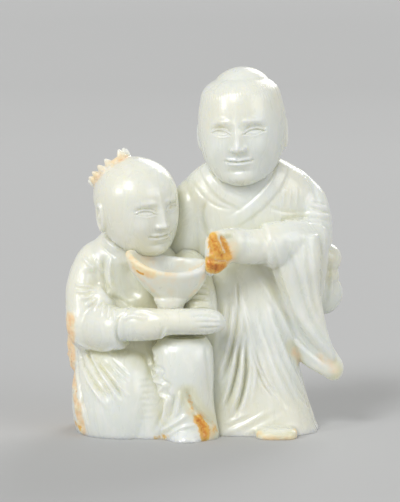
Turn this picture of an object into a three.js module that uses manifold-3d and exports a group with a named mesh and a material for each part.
// A carved white jade group of two figures. One stands and reaches a hand down to a bowl.
// The other half kneels beside and holds the bowl up on a forearm.
// It is one stone, so it is one solid. Lengths are in millimetres, +Z is up, the front faces -Y,
// and the origin is on the underside, below the middle of the block.
import * as THREE from 'three';
import { mergeVertices } from 'three/addons/utils/BufferGeometryUtils.js';
import Module from 'manifold-3d';

const wasm = await Module();
wasm.setup();

// Driving dimensions. A head's middle, its size, how full its crown is, and its turns in degrees.
const STANDING_HEAD = { x: 7.5, y: 1.4, z: 60.7, height: 21.2, width: 17.6, depth: 18.4, crown: 1.07 };
const STANDING_TURN = { about_x: 5, about_y: -3, about_z: -8 };
const KNEELING_HEAD = { x: -13.6, y: -1.4, z: 45.8, height: 18.6, width: 16.6, depth: 17.4, crown: 0.95 };
const KNEELING_TURN = { about_x: 8, about_y: -7, about_z: 36 };
const TOPKNOT = { width: 11.8, depth: 11.8, rise: 1.35, half_height: 4.75 };
const EAR = { height: 6.4, depth: 3.6, thickness: 1.6 };
const CREST_AXIS = new THREE.Vector3(-0.62, 0.24, 0.75).normalize(); // through the ring of hair tufts
const TUFTS = { count: 16, opening: 27, radius: 1.5, length: 4.4, root: 0.75 }; // opening in degrees
const PLEATS = { count: 11, depth: 0.03 }; // flutes of the standing figure's skirt; share of the radius
const BOWL = { x: -7.4, y: -8.6, z: 34.6, half_length: 8.4, depth_below_rim: 6.6 }; // the rim's middle
const BOWL_END_RISE = 1.5; // how much higher the bowl's two ends are than the middle of its rim
const BOWL_LEAN = { about_x: 13, about_y: 8 }; // degrees
const GOURD = { x: 23.6, y: 6.6, lower_z: 27.0, lower_r: 4.4, waist_z: 30.6, upper_z: 34.0, upper_r: 3.4 };
const FINGER = { radius: 0.95, pitch: 1.55, count: 4 };
// Bodies that are met again where folds lie on them: stations [x, y, z, half width, half depth].
const STANDING_TORSO = [
  [8.4, 5.0, 26.8, 10.6, 7.6],
  [9.0, 5.2, 34.8, 12.8, 8.0],
  [9.4, 5.2, 41.8, 14.8, 8.4],
  [9.2, 5.0, 47.2, 14.6, 8.2],
  [8.8, 4.4, 51.4, 11.6, 7.2],
  [8.3, 3.5, 54.4, 7.0, 5.4],
  [8.0, 3.0, 56.0, 3.6, 4.2],
];
const SKIRT = [
  [10.0, 3.1, -1.8, 12.2, 9.6],
  [10.1, 3.1, 0.4, 12.6, 10.0],
  [9.8, 3.3, 2.8, 12.2, 9.9],
  [9.0, 3.4, 7.8, 11.2, 9.6],
  [8.2, 3.6, 14.8, 10.7, 9.2],
  [8.1, 4.1, 23.8, 10.4, 8.7],
  [8.4, 5.0, 33.8, 10.6, 7.8],
];
const SKIRT_POWER = 2.5; // above 2 the skirt's plan is fuller than an ellipse
const LAP = [
  [-15.6, 0.8, -1.8, 8.6, 8.8],
  [-16.0, 0.4, 0.4, 9.8, 10.2],
  [-16.4, 0.2, 5.8, 10.2, 10.8],
  [-16.4, 0.6, 11.8, 9.6, 10.2],
  [-16.0, 1.8, 16.8, 8.0, 8.0],
  [-15.6, 2.4, 19.2, 4.6, 4.6],
];

// Collar bands and folds as a few points [x, z] on the front of the body that they lie on
const COLLAR_BANDS = [
  [[1.4, 52.0], [4.6, 49.0], [9.2, 45.4]],
  [[14.8, 52.0], [10.8, 47.0], [5.0, 42.8]],
];
const COLLAR_RADIUS = 1.1;
const FOLD_SINK = 0.25; // how far behind the surface a fold's or a band's middle lies
const SKIRT_FOLDS = [
  { radius: 1.0, points: [[6.4, 28.0], [6.8, 21.0], [3.8, 11.0]] },
  { radius: 1.0, points: [[8.0, 22.0], [6.8, 13.0], [3.4, 5.2]] },
  { radius: 0.9, points: [[9.4, 17.0], [8.2, 9.0], [6.0, 2.6]] },
  { radius: 0.9, points: [[7.8, 26.0], [10.2, 17.0], [13.6, 7.0]] },
  { radius: 0.9, points: [[12.0, 21.0], [16.4, 11.0], [19.4, 4.6]] },
];
const LAP_FOLDS = [
  { radius: 1.1, points: [[-23.4, 16.0], [-21.0, 11.0], [-16.6, 5.4]] },
  { radius: 1.1, points: [[-20.8, 16.0], [-17.6, 11.4], [-13.4, 8.4]] },
];

const TRIM = { width: 80, depth: 60, height: 12 }; // the block that cuts the underside flat

// Facets
const BODY_SIDES = 16;
const LIMB_SIDES = 10;
const SMALL_SIDES = 8;
const WELD = 1e-3; // vertices nearer than this are one

const FRONT = new THREE.Vector3(0, -1, 0);
const UP = new THREE.Vector3(0, 0, 1);
const { degToRad } = THREE.MathUtils;

// A closed three.js geometry as a solid that can be joined and cut.
function solid(geometry) {
  const bare = geometry.index ? geometry.toNonIndexed() : geometry.clone();
  bare.deleteAttribute('normal');
  bare.deleteAttribute('uv');
  const merged = mergeVertices(bare, WELD);
  return new wasm.Manifold(
    new wasm.Mesh({
      numProp: 3,
      vertProperties: merged.attributes.position.array,
      triVerts: new Uint32Array(merged.index.array),
    }),
  );
}

// A solid as a three.js geometry again.
function geometryOf(made) {
  const mesh = made.getMesh();
  const positions = new Float32Array(mesh.numVert * 3);
  for (let i = 0; i < mesh.numVert; i++) {
    positions.set(mesh.vertProperties.subarray(i * mesh.numProp, i * mesh.numProp + 3), i * 3);
  }
  return new THREE.BufferGeometry()
    .setAttribute('position', new THREE.BufferAttribute(positions, 3))
    .setIndex(new THREE.BufferAttribute(new Uint32Array(mesh.triVerts), 1));
}

// An ellipsoid: its centre, half sizes, and turns about x, y and z in degrees.
function ball(centre, halves, { turn = [0, 0, 0], sides = LIMB_SIDES, rings = 7 } = {}) {
  const shape = new THREE.SphereGeometry(1, sides, rings);
  shape.scale(...halves);
  shape.applyMatrix4(new THREE.Matrix4().makeRotationFromEuler(new THREE.Euler(...turn.map(degToRad))));
  return shape.translate(...centre);
}

// Moves a point of the unit circle out to a rounded square; power 2 keeps the circle.
function squarer(x, y, power) {
  const radius = Math.hypot(x, y);
  if (radius < 1e-6) return [x, y];
  const shrink = (Math.abs(x / radius) ** power + Math.abs(y / radius) ** power) ** (1 / power);
  return [x / shrink, y / shrink];
}

// A body through stations [x, y, z, half width, half depth], with every section level.
// relief, if given, says by what factor a section swells at an angle and a share of the length.
function upright(stations, { sides = BODY_SIDES, steps = 1, power = 2, relief = () => 1 } = {}) {
  const framed = () => ({ across: new THREE.Vector3(1, 0, 0), forward: FRONT });
  return swept(stations, framed, { sides, steps, power, relief });
}

// A limb through stations [x, y, z, half breadth, half thickness], with sections square to the path.
// The thickness lies towards facing.
function limb(stations, { sides = LIMB_SIDES, steps = 2, power = 2, facing = FRONT } = {}) {
  const framed = (along) => {
    const forward = facing.clone().addScaledVector(along, -facing.dot(along)).normalize();
    return { across: along.clone().cross(forward), forward };
  };
  return swept(stations, framed, { sides, steps, power, relief: () => 1 });
}

// A point on the front of a body of stations, at x and z.
function onFront(stations, power, x, z) {
  const next = stations.findIndex((station) => station[2] > z);
  const [low, high] = [stations[next - 1], stations[next]];
  const share = (z - low[2]) / (high[2] - low[2]);
  const [middle, deep, , wide, depth] = low.map((value, i) => value + share * (high[i] - value));
  const inside = Math.max(0, 1 - Math.abs((x - middle) / wide) ** power);
  return [x, deep - depth * inside ** (1 / power), z];
}

// A slim roll that follows the front of a body through points [x, z] and tapers at both ends.
function alongFront(stations, points, radius, power = 2) {
  const rows = points.map(([x, z], i) => {
    const thick = i > 0 && i < points.length - 1 ? radius : radius * 0.5;
    return [...onFront(stations, power, x, z), thick, thick];
  });
  return limb(rows, { sides: 6 }).translate(0, FOLD_SINK, 0);
}

function swept(stations, framed, { sides, steps, power, relief }) {
  const path = new THREE.CatmullRomCurve3(stations.map(([x, y, z]) => new THREE.Vector3(x, y, z)));
  const sizes = new THREE.CatmullRomCurve3(stations.map(([, , , a, b]) => new THREE.Vector3(a, b, 0)));
  const shape = new THREE.CylinderGeometry(1, 1, 1, sides, (stations.length - 1) * steps);
  const at = shape.attributes.position;
  for (let i = 0; i < at.count; i++) {
    const share = at.getY(i) + 0.5;
    const [a, b] = squarer(at.getX(i), at.getZ(i), power);
    const { across, forward } = framed(path.getTangent(share));
    const half = sizes.getPoint(share);
    const swell = relief(Math.atan2(b, a), share);
    const point = path.getPoint(share);
    point.addScaledVector(across, half.x * a * swell).addScaledVector(forward, half.y * b * swell);
    at.setXYZ(i, point.x, point.y, point.z);
  }
  return shape;
}

// A head in its own frame, with its middle at the origin and the face towards -Y.
function headShapes({ height, width, depth, crown }) {
  const chin = -height / 2;
  const section = (up, wide, deep, back) => [
    0, back * depth, chin + up * height, (wide * width) / 2, (deep * depth) / 2,
  ];
  const skull = upright(
    [
      section(0.0, 0.2, 0.16, -0.3),
      section(0.05, 0.52, 0.42, -0.23),
      section(0.17, 0.8, 0.74, -0.11),
      section(0.34, 0.96, 0.94, -0.03),
      section(0.54, 1.0, 1.0, 0.0),
      section(0.72, 0.93, 0.96, 0.01),
      section(0.87, 0.77 * crown, 0.78 * crown, 0.02),
      section(0.96, 0.46 * crown ** 2, 0.47 * crown ** 2, 0.02),
      section(1.0, 0.12, 0.12, 0.02),
    ],
    { steps: 1, sides: BODY_SIDES },
  );
  const face = -depth / 2;
  const small = { sides: SMALL_SIDES, rings: 4 };
  const shapes = [
    skull,
    ball([0, face + 0.3, -0.1 * height], [0.08 * width, 1.2, 0.1 * height], small),
    ball([0, face + 0.9, chin + 0.21 * height], [0.13 * width, 0.9, 0.045 * height], small),
  ];
  for (const side of [-1, 1]) {
    shapes.push(ball([side * 0.2 * width, face + 1.2, 0], [0.11 * width, 0.8, 0.05 * height], small));
    shapes.push(
      ball(
        [(side * (width - 1)) / 2, 0.6, -0.08 * height],
        [EAR.thickness / 2, EAR.depth / 2, EAR.height / 2],
        { turn: [0, side * 4, side * 16], sides: SMALL_SIDES, rings: 6 },
      ),
    );
  }
  return shapes;
}

// The turn and place of a head.
function pose(at, turn) {
  return new THREE.Matrix4()
    .makeTranslation(at.x, at.y, at.z)
    .multiply(new THREE.Matrix4().makeRotationZ(degToRad(turn.about_z)))
    .multiply(new THREE.Matrix4().makeRotationY(degToRad(turn.about_y)))
    .multiply(new THREE.Matrix4().makeRotationX(degToRad(turn.about_x)));
}

// Moves shapes from a head's own frame to where the head is.
function placed(shapes, at, turn) {
  return shapes.map((shape) => shape.applyMatrix4(pose(at, turn)));
}

function standingHead() {
  const crown = STANDING_HEAD.height / 2;
  const topknot = ball(
    [0.3, 0.6, crown + TOPKNOT.rise - TOPKNOT.half_height],
    [TOPKNOT.width / 2, TOPKNOT.depth / 2, TOPKNOT.half_height],
    { sides: 14, rings: 6 },
  );
  return placed([...headShapes(STANDING_HEAD), topknot], STANDING_HEAD, STANDING_TURN);
}

// The crest: a low ring round the back of the crown, and a pointed tuft at each step along it.
function kneelingHead() {
  const { width, depth, height } = KNEELING_HEAD;
  const shapes = headShapes(KNEELING_HEAD);
  const axis = CREST_AXIS.clone().transformDirection(pose(KNEELING_HEAD, KNEELING_TURN).invert());
  const opening = degToRad(TUFTS.opening);
  const ring = [];
  for (let i = 0; i <= TUFTS.count; i++) {
    const out = UP.clone().applyAxisAngle(new THREE.Vector3(1, 0, 0), opening);
    out.applyAxisAngle(UP, (i * 2 * Math.PI) / TUFTS.count);
    out.applyQuaternion(new THREE.Quaternion().setFromUnitVectors(UP, axis));
    const root = out.clone().multiply(new THREE.Vector3(width / 2, depth / 2, height / 2));
    ring.push([root.x, root.y, root.z, TUFTS.root, TUFTS.root]);
    const tuft = new THREE.ConeGeometry(TUFTS.radius, TUFTS.length, 4);
    tuft.applyQuaternion(new THREE.Quaternion().setFromUnitVectors(new THREE.Vector3(0, 1, 0), out));
    if (i < TUFTS.count) shapes.push(tuft.translate(root.x, root.y, root.z));
  }
  return placed([...shapes, limb(ring, { sides: 4, steps: 1 })], KNEELING_HEAD, KNEELING_TURN);
}

function standingBody() {
  const torso = upright(STANDING_TORSO);
  const flute = (angle, share) => 1 + PLEATS.depth * (1 - share) * Math.cos(PLEATS.count * angle);
  const skirt = upright(SKIRT, { sides: PLEATS.count * 4, power: SKIRT_POWER, relief: flute });
  const shoe = upright(
    [
      [14.7, -6.0, -1.8, 3.8, 4.3],
      [14.7, -6.0, 0.4, 3.9, 4.4],
      [14.7, -6.0, 1.0, 3.5, 3.9],
      [14.7, -5.8, 1.3, 1.8, 2.2],
    ],
    { power: 3, sides: 16 },
  );
  const collar = COLLAR_BANDS.map((points) => alongFront(STANDING_TORSO, points, COLLAR_RADIUS));
  return [torso, skirt, shoe, ...collar];
}

// The reaching arm in its long hanging sleeve, and the arm that goes behind the kneeling figure.
function standingArms() {
  const upper_arm = limb([
    [18.6, 4.4, 50.2, 2.0, 2.2],
    [20.3, 4.2, 46.4, 3.9, 4.4],
    [21.2, 3.2, 41.8, 4.3, 4.8],
    [21.0, 2.0, 37.3, 4.2, 4.2],
    [20.0, 1.4, 34.8, 2.2, 2.2],
  ]);
  const forearm = limb([
    [17.0, -3.6, 38.0, 3.4, 2.8],
    [11.0, -6.6, 37.8, 3.5, 2.7],
    [6.4, -8.2, 38.0, 3.5, 2.4],
  ]);
  const palm = ball([5.0, -8.8, 38.2], [4.0, 2.4, 3.5], { turn: [0, -8, 0] });
  const fingers = Array.from({ length: FINGER.count }, (unused, i) => {
    const drop = i * FINGER.pitch;
    return limb(
      [
        [5.2, -9.8, 40.7 - drop, FINGER.radius, FINGER.radius],
        [2.6, -11.2, 40.5 - drop, FINGER.radius, FINGER.radius],
        [1.1, -11.3, 39.4 - drop, FINGER.radius, FINGER.radius],
        [0.9, -10.6, 38.0 - drop, FINGER.radius, FINGER.radius],
        [1.3, -9.8, 37.2 - drop, 0.5, 0.5],
      ],
      { sides: 6, steps: 1 },
    );
  });
  const low_finger = limb(
    [
      [4.4, -9.4, 36.2, 1.5, 1.4],
      [3.0, -10.2, 34.9, 1.4, 1.3],
      [1.9, -10.2, 33.9, 1.3, 1.2],
      [1.2, -9.8, 33.2, 0.6, 0.6],
    ],
    { sides: 6, steps: 1 },
  );
  const sleeve_mouth = limb([
    [22.0, -0.2, 38.0, 4.4, 3.6],
    [16.5, -4.2, 38.2, 4.7, 3.5],
    [11.6, -6.3, 38.0, 4.3, 3.2],
  ]);
  const sleeve_front = upright(
    [
      [25.6, -1.2, 14.2, 0.8, 1.0],
      [24.4, -1.6, 16.0, 1.7, 1.6],
      [21.6, -2.4, 21.2, 2.7, 2.2],
      [19.1, -3.4, 29.1, 3.8, 2.9],
      [18.0, -4.0, 34.6, 5.1, 3.3],
      [18.0, -3.4, 40.0, 4.6, 3.0],
    ],
    { power: 2.4, sides: 14 },
  );
  const sleeve_back = upright(
    [
      [26.4, 0.4, 10.2, 0.8, 1.0],
      [25.0, 0.2, 11.6, 2.5, 1.8],
      [23.3, 0.2, 13.8, 3.9, 2.3],
      [21.2, 0.2, 17.6, 4.3, 2.8],
      [18.7, 0.0, 25.3, 4.8, 3.4],
      [17.2, -0.4, 34.8, 7.5, 4.2],
      [18.0, -0.4, 40.0, 6.6, 3.8],
      [18.4, 0.0, 42.0, 4.6, 2.6],
    ],
    { power: 2.4 },
  );
  const far_arm = limb(
    [
      [-1.0, 5.0, 50.4, 2.2, 2.4],
      [-2.2, 4.4, 46.0, 4.4, 4.4],
      [-3.6, 3.6, 38.8, 4.4, 4.6],
      [-5.2, 4.4, 30.8, 4.6, 5.0],
      [-6.0, 6.0, 22.8, 4.2, 4.6],
    ],
    { steps: 1 },
  );
  return [upper_arm, forearm, palm, ...fingers, low_finger, sleeve_mouth, sleeve_front, sleeve_back, far_arm];
}

function gourd() {
  const { x, y, lower_z, lower_r, waist_z, upper_z, upper_r } = GOURD;
  const round = { sides: 12, rings: 7 };
  const stem = [
    [x - 3.4, y, upper_z + 6.4, 0.8, 0.8],
    [x - 1.0, y, upper_z + 4.2, 1.0, 1.0],
    [x + 0.4, y, upper_z + 1.6, 1.1, 1.1],
  ];
  return [
    ball([x, y, lower_z], [lower_r, lower_r, lower_r], round),
    ball([x + 0.2, y, waist_z], [3.5, 3.4, 2.6], { rings: 4 }),
    ball([x + 0.6, y, upper_z], [upper_r, upper_r, upper_r], round),
    limb(stem, { sides: 6 }),
  ];
}

function kneelingBody() {
  const torso = upright([
    [-14.6, 3.4, 6.8, 11.0, 9.4],
    [-14.6, 3.4, 16.8, 11.8, 9.2],
    [-14.4, 3.2, 24.8, 12.4, 8.4],
    [-14.2, 2.8, 30.8, 12.2, 7.8],
    [-14.6, 2.2, 35.4, 10.2, 6.8],
    [-15.2, 1.2, 38.4, 6.6, 5.4],
    [-15.4, 0.6, 40.6, 4.2, 4.2],
  ]);
  const lap = upright(LAP);
  const shin = upright(
    [
      [-3.0, -5.8, -1.8, 5.9, 5.4],
      [-3.1, -6.0, 0.2, 6.1, 5.8],
      [-3.6, -6.2, 6.8, 5.5, 5.6],
      [-4.2, -6.6, 13.8, 5.7, 5.6],
      [-4.6, -6.4, 17.8, 5.4, 5.2],
      [-4.8, -6.0, 20.2, 3.2, 3.4],
    ],
    { power: 2.4 },
  );
  const thigh = limb(
    [
      [-4.6, -6.6, 15.4, 4.6, 4.6],
      [-6.0, -1.0, 14.8, 5.2, 5.2],
      [-8.0, 6.0, 12.8, 6.0, 6.4],
    ],
    { facing: UP, steps: 1 },
  );
  const back = upright([
    [-22.4, 6.0, -1.8, 3.2, 4.8],
    [-22.6, 6.0, 1.2, 3.7, 5.6],
    [-22.4, 6.0, 7.8, 3.4, 5.8],
    [-22.7, 5.8, 10.8, 3.5, 5.8],
    [-23.4, 5.6, 13.6, 4.0, 5.8],
    [-23.5, 5.4, 19.8, 4.2, 5.8],
    [-23.0, 4.8, 27.8, 4.0, 5.4],
    [-20.6, 4.4, 33.8, 3.0, 4.0],
  ]);
  const between = upright(
    [
      [-11.2, -2.6, -1.8, 6.6, 6.9],
      [-11.2, -2.6, 5.0, 6.4, 6.9],
      [-10.8, -2.4, 10.0, 5.6, 6.2],
      [-10.4, -1.8, 14.0, 4.4, 4.6],
      [-10.0, -1.2, 17.0, 3.0, 3.0],
    ],
    { power: 2.6, sides: 12 },
  );
  const shoe = ball([-3.5, -9.0, -0.2], [3.8, 4.6, 3.0]);
  return [torso, lap, shin, thigh, back, between, shoe];
}

function kneelingArms() {
  const upper_arm = limb([
    [-19.8, 1.2, 37.6, 1.8, 1.8],
    [-21.8, 0.8, 34.6, 3.5, 3.6],
    [-23.3, 0.0, 29.8, 4.1, 4.4],
    [-23.6, -1.0, 24.8, 4.1, 4.8],
    [-22.9, -2.2, 20.4, 4.2, 4.6],
    [-21.4, -2.8, 17.4, 2.4, 2.8],
  ]);
  const cuff = limb([
    [-23.6, -2.0, 22.0, 3.6, 3.4],
    [-20.6, -4.6, 21.6, 4.6, 3.9],
    [-17.2, -7.4, 21.7, 4.3, 3.6],
    [-15.8, -8.4, 21.7, 3.9, 3.1],
  ]);
  const elbow = ball([-20.4, -3.0, 26.4], [3.6, 3.4, 3.6]);
  const forearm = limb(
    [
      [-18.0, -7.2, 22.4, 3.3, 2.9],
      [-12.5, -10.2, 22.9, 3.3, 2.8],
      [-9.6, -10.9, 23.1, 3.1, 2.75],
      [-7.2, -11.1, 23.5, 2.65, 2.6],
      [-2.0, -11.2, 23.6, 2.6, 2.5],
      [1.2, -10.9, 23.6, 2.5, 2.3],
      [2.9, -10.4, 23.2, 1.8, 1.8],
      [4.1, -10.2, 22.9, 0.7, 0.8],
    ],
    { steps: 1 },
  );
  const far_sleeve = limb(
    [
      [-4.6, 1.0, 35.2, 2.4, 2.6],
      [-2.6, -0.8, 32.4, 3.6, 3.8],
      [-1.4, -3.2, 27.2, 3.8, 4.0],
      [-0.8, -6.6, 23.6, 3.4, 3.6],
    ],
    { steps: 1 },
  );
  return [upper_arm, cuff, elbow, forearm, far_sleeve];
}

// The stem that the bowl stands on.
function bowlStem() {
  return upright(
    [
      [-6.8, -8.6, 23.4, 2.6, 2.6],
      [-6.7, -8.6, 26.2, 2.6, 2.6],
      [-6.6, -8.4, 27.6, 3.4, 3.0],
      [-6.4, -8.2, 28.6, 3.0, 2.8],
      [-6.0, -8.0, 29.8, 2.0, 2.0],
    ],
    { sides: 12 },
  );
}

// The bowl about the middle of its rim: its plan is an ellipse and its two ends rise.
function bowlOuter() {
  return settled(
    upright([
      [1.6, 0, -6.6, 1.0, 0.9],
      [1.7, 0, -6.3, 3.2, 2.7],
      [1.7, 0, -5.5, 3.9, 3.3],
      [1.5, 0, -4.2, 5.1, 4.0],
      [0.8, 0, -2.4, 6.9, 4.8],
      [0.4, 0, -0.9, 7.9, 5.2],
      [0.1, 0, 0, 8.4, 5.4],
      [0, 0, 0.6, 8.2, 5.2],
    ]),
  );
}

function bowlHollow() {
  return settled(
    upright([
      [1.5, 0, -4.2, 0.4, 0.3],
      [1.4, 0, -4.0, 2.4, 1.6],
      [1.0, 0, -3.0, 4.4, 2.8],
      [0.4, 0, -1.4, 6.0, 3.6],
      [0.1, 0, 0.1, 6.7, 4.05],
      [0, 0, 0.9, 7.2, 4.45],
      [0, 0, 2.4, 7.8, 4.9],
    ]),
  );
}

// Lifts the ends of a level bowl form, the more the higher up, and leans it into its place.
function settled(shape) {
  const { x, y, z, half_length, depth_below_rim } = BOWL;
  const at = shape.attributes.position;
  for (let i = 0; i < at.count; i++) {
    const rise = (at.getZ(i) / depth_below_rim + 1) * BOWL_END_RISE;
    at.setZ(i, at.getZ(i) + rise * (at.getX(i) / half_length) ** 2);
  }
  return shape
    .rotateY(degToRad(BOWL_LEAN.about_y))
    .rotateX(degToRad(BOWL_LEAN.about_x))
    .translate(x, y, z);
}

// The stone without the slivers and sealed pockets that overlapping forms leave inside it.
function outerBody(made) {
  const bodies = solid(geometryOf(made)).decompose();
  return bodies.reduce((largest, body) => (body.volume() > largest.volume() ? body : largest));
}

function carvedGroup() {
  const shapes = [
    ...standingBody(),
    ...standingArms(),
    ...standingHead(),
    ...gourd(),
    ...kneelingBody(),
    ...kneelingArms(),
    ...kneelingHead(),
    bowlStem(),
  ];
  const folds = [
    ...SKIRT_FOLDS.map(({ points, radius }) => alongFront(SKIRT, points, radius, SKIRT_POWER)),
    ...LAP_FOLDS.map(({ points, radius }) => alongFront(LAP, points, radius)),
  ];
  const below = new THREE.BoxGeometry(TRIM.width, TRIM.depth, TRIM.height).translate(0, 0, -TRIM.height / 2);
  const cut = (whole, form) => whole.subtract(form);
  const join = (whole, form) => whole.add(form);
  const figures = folds.map(solid).reduce(cut, shapes.map(solid).reduce(join));
  const bowl = solid(bowlOuter()).subtract(solid(bowlHollow()));
  return outerBody(figures.add(bowl).subtract(solid(below)));
}

const whiteJade = new THREE.MeshStandardMaterial({ color: 0xdfe0d2, roughness: 0.28, metalness: 0 });
const jade = new THREE.Mesh(geometryOf(carvedGroup()), whiteJade);
jade.name = 'jade_figure_group';
const group = new THREE.Group();
group.add(jade);

export default group;
